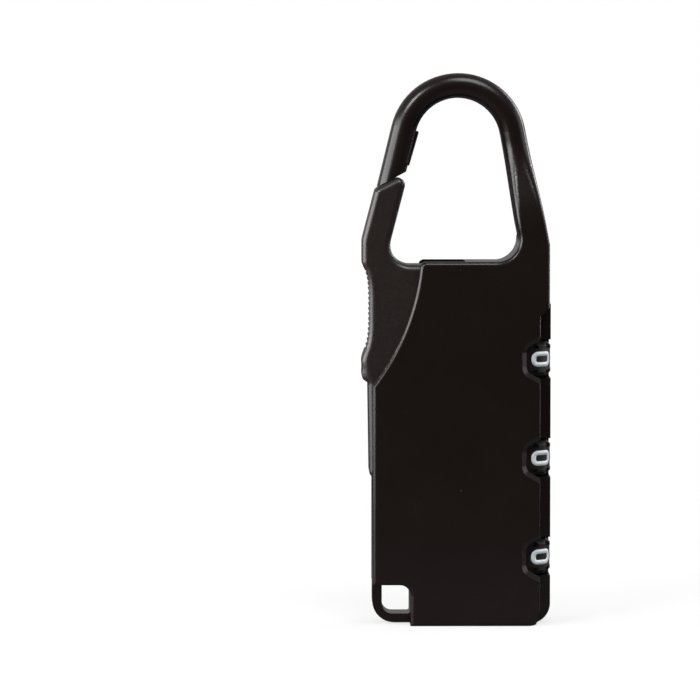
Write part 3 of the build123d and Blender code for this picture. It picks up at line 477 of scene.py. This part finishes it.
wind = bpy.data.node_groups.new("figures_round_a_dial", "GeometryNodeTree")
wind.interface.new_socket("Geometry", in_out="INPUT", socket_type="NodeSocketGeometry")
for label in ("Radius", "Stretch", "Stroke Width", "Paint Depth", "Corner Radius", "First Angle"):
    wind.interface.new_socket(label, in_out="INPUT", socket_type="NodeSocketFloat")
wind.interface.new_socket("Dial Centre", in_out="INPUT", socket_type="NodeSocketVector")
wind.interface.new_socket("Paint", in_out="INPUT", socket_type="NodeSocketMaterial")
wind.interface.new_socket("Geometry", in_out="OUTPUT", socket_type="NodeSocketGeometry")
given = add(wind, "NodeGroupInput").outputs

rounded = add(wind, "GeometryNodeFilletCurve", {
    "Curve": given["Geometry"],
    "Count": CORNER_POINTS,
    "Radius": given["Corner Radius"],
    "Limit Radius": True,
}, mode="POLY")
even = add(wind, "GeometryNodeResampleCurve",
           {"Curve": rounded.outputs[0], "Length": POINT_GAP}, mode="LENGTH")
upright = add(wind, "GeometryNodeSetCurveNormal", {"Curve": even.outputs[0]}, mode="Z_UP")
section = add(wind, "GeometryNodeCurvePrimitiveQuadrilateral",
              {"Width": given["Stroke Width"], "Height": given["Paint Depth"]}, mode="RECTANGLE")
ribbon = add(wind, "GeometryNodeCurveToMesh", {
    "Curve": upright.outputs[0],
    "Profile Curve": section.outputs[0],
    "Fill Caps": True,
})

flat = add(wind, "ShaderNodeSeparateXYZ",
           {0: add(wind, "GeometryNodeInputPosition").outputs[0]}).outputs
along = reckon(wind, "MULTIPLY", flat["Y"], given["Stretch"])
turn = reckon(wind, "DIVIDE", along, given["Radius"])
angle = reckon(wind, "SUBTRACT", given["First Angle"], turn)
reach = reckon(wind, "ADD", given["Radius"], flat["Z"])
out_x = reckon(wind, "MULTIPLY", reach, reckon(wind, "COSINE", angle))
out_y = reckon(wind, "MULTIPLY", reach, reckon(wind, "SINE", angle))
wound = add(wind, "ShaderNodeCombineXYZ", {0: out_x, 1: out_y, 2: flat["X"]})
placed = add(wind, "ShaderNodeVectorMath",
             {0: wound.outputs[0], 1: given["Dial Centre"]}, operation="ADD")

on_dial = add(wind, "GeometryNodeSetPosition",
              {"Geometry": ribbon.outputs[0], "Position": placed.outputs[0]})
painted = add(wind, "GeometryNodeSetMaterial",
              {"Geometry": on_dial.outputs[0], "Material": given["Paint"]})
whole = add(wind, "GeometryNodeRealizeInstances", {"Geometry": painted.outputs[0]})
add(wind, "NodeGroupOutput", {"Geometry": whole.outputs[0]})
print(wind.name, len(wind.nodes), "nodes")

# %% [markdown]
# The tree runs once for each dial. Its result is baked to a plain mesh, which rides on the dial's
# body, so the figures turn with the dial. Figure 0 looks out of the window at rest, 42 degrees in
# front of the side.

# %% Figures on the three dials
FIRST_ANGLE = math.radians(-42)
PAINT_DEPTH = 0.06 * MM
CORNER_RADIUS = 0.62 * MM

for dial in ("top", "middle", "bottom"):
    low, high = (Vector(corner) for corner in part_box("dial_wheel_" + dial))
    strip = strip_of_figures("strip_" + dial)
    modifier = strip.modifiers.new("figures", "NODES")
    modifier.node_group = wind
    values = {
        "Radius": DIAL_RADIUS,
        "Stretch": STRETCH,
        "Stroke Width": STROKE_WIDTH,
        "Paint Depth": PAINT_DEPTH,
        "Corner Radius": CORNER_RADIUS,
        "First Angle": FIRST_ANGLE,
        "Dial Centre": (low + high) / 2,
        "Paint": white_fill,
    }
    for socket in wind.interface.items_tree:
        if socket.in_out == "INPUT" and socket.name in values:
            modifier[socket.identifier] = values[socket.name]
    ready = strip.evaluated_get(bpy.context.evaluated_depsgraph_get())
    mesh = bpy.data.meshes.new_from_object(ready)
    bpy.data.objects.remove(strip)
    figures = bpy.data.objects.new("dial_figures_" + dial, mesh)
    bpy.context.scene.collection.objects.link(figures)
    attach(figures, "wheel_" + dial)
    print(figures.name, len(mesh.polygons), "faces,", [m.name for m in mesh.materials])

# %% [markdown]
# The studio is plain: a pale floor, white surroundings and large soft boxes. The floor is white to
# the camera, with a patch round the lock that is partly plain board and so takes a soft shadow.
# Reflections see it much dimmer, because the flat plate mirrors the floor in front of it and would
# turn grey.

# %% Floor
HALF_FLOOR = 3.0
SHADOW_PATCH = (0.03, 0.22)
SHADOW_SHARE = 0.30
MIRRORED_SHADOW = 0.45
MIRRORED_FLOOR = 0.04

board, tree, shader, place = start_finish("pale_studio_board")
fibre = noise(tree, place, size=60, detail=2)
feed(shader, {
    "Base Color": tint(tree, fibre, "#f6f6f6", "#fbfbfb"),
    "Roughness": 0.9,
    "Specular IOR Level": 0.0,
})
ray = add(tree, "ShaderNodeLightPath").outputs
mirrored = reckon(tree, "MULTIPLY", ray["Is Glossy Ray"], MIRRORED_FLOOR)
seen = reckon(tree, "MAXIMUM", ray["Is Camera Ray"], mirrored)
seen = reckon(tree, "MAXIMUM", seen, ray["Is Transmission Ray"])
glow = add(tree, "ShaderNodeEmission", {"Color": paint("#ffffff"), "Strength": seen})
away = add(tree, "ShaderNodeVectorMath", {0: place}, operation="LENGTH").outputs["Value"]
patch = remap(tree, away, SHADOW_PATCH, (SHADOW_SHARE, 0.0))
dim = reckon(tree, "MULTIPLY_ADD", ray["Is Glossy Ray"], MIRRORED_SHADOW - 1, 1.0)
share = reckon(tree, "MULTIPLY", patch, dim)
both = add(tree, "ShaderNodeMixShader", {0: share, 1: glow.outputs[0], 2: shader.outputs[0]})
output = next(node for node in tree.nodes if node.type == "OUTPUT_MATERIAL")
feed(output, {"Surface": both.outputs[0]})

corners = [(HALF_FLOOR * x, HALF_FLOOR * y, 0) for x, y in ((-1, -1), (1, -1), (1, 1), (-1, 1))]
floor_mesh = bpy.data.meshes.new("studio_floor")
floor_mesh.from_pydata(corners, [], [(0, 1, 2, 3)])
floor_mesh.materials.append(board)
floor = bpy.data.objects.new("studio_floor", floor_mesh)
bpy.context.scene.collection.objects.link(floor)
floor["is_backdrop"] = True
print("floor at Z =", floor.location.z)

# %% [markdown]
# The surroundings are white to the camera, and light the lock softly from all sides. Black enamel
# shows hardly any colour of its own, so its form is drawn by what it mirrors. The side where the
# camera stands is dim, which keeps the flat plate black, and the backdrop is brighter, which
# whitens what is seen at a glancing angle.

# %% White surroundings
SOFT_LIGHT = 0.4
FRONT_TO_BACK = (-0.95, 0.6)
MIRRORED_ROOM = (0.045, 0.34)


def either(tree, test, no, yes):
    """One number or the other, by a test of 0 or 1; the Mix node has its numbers at 2 and 3."""
    return add(tree, "ShaderNodeMix", {0: test, 2: no, 3: yes}, data_type="FLOAT").outputs[0]


room = bpy.data.worlds.new("white_room")
bpy.context.scene.world = room
room.use_nodes = True
tree = room.node_tree
tree.nodes.clear()
ray = add(tree, "ShaderNodeLightPath").outputs
way = add(tree, "ShaderNodeTexCoord").outputs["Generated"]
depth = add(tree, "ShaderNodeSeparateXYZ", {0: way}).outputs["Y"]
mirrored = remap(tree, depth, FRONT_TO_BACK, MIRRORED_ROOM)
light = either(tree, ray["Is Glossy Ray"], SOFT_LIGHT, mirrored)
seen = reckon(tree, "MAXIMUM", ray["Is Camera Ray"], ray["Is Transmission Ray"])
level = either(tree, seen, light, 1.0)
glow = add(tree, "ShaderNodeBackground", {"Color": paint("#ffffff"), "Strength": level})
add(tree, "ShaderNodeOutputWorld", {"Surface": glow.outputs[0]})
print(room.name, len(tree.nodes), "nodes")

# %% [markdown]
# A wide box at the left lays the broad soft band along the shackle, a brighter one above it lights
# the bow's shoulder, weak ones at the right and behind line the far edges, and one above the camera
# lights the figures. Each has its place, its width and height in metres and its power in watts, and
# all of them face the lock.

# %% Soft boxes
LAMPS = {
    "left_soft_box": ((-0.49, -0.12, 0.04), (0.65, 0.40), 4.9),
    "shoulder_soft_box": ((-0.34, -0.42, 0.39), (0.17, 0.17), 1.35),
    "right_soft_box": ((0.55, -0.02, 0.12), (0.40, 0.45), 0.5),
    "upper_soft_box": ((0.12, -0.34, 0.55), (0.30, 0.30), 1.6),
    "rear_soft_box": ((0.45, 0.35, 0.35), (0.25, 0.30), 0.8),
    "rear_strip_box": ((0.43, 0.25, 0.06), (0.06, 0.50), 0.8),
}
for name, (where, (wide, tall), watts) in LAMPS.items():
    lamp = bpy.data.lights.new(name, "AREA")
    lamp.shape = "RECTANGLE"
    lamp.size = wide
    lamp.size_y = tall
    lamp.energy = watts
    box = bpy.data.objects.new(name, lamp)
    box.location = where
    box.rotation_euler = (AIM - box.location).to_track_quat("-Z", "Y").to_euler()
    bpy.context.scene.collection.objects.link(box)
bpy.context.scene.view_settings.view_transform = "Standard"
print("lamps:", ", ".join(LAMPS))

# %% [markdown]
# Last, the box of what is shown is printed in millimetres.

# %% Size of what is shown
low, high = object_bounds()
print("visual box in mm:", [round(1000 * v, 2) for v in (*low, *high)])
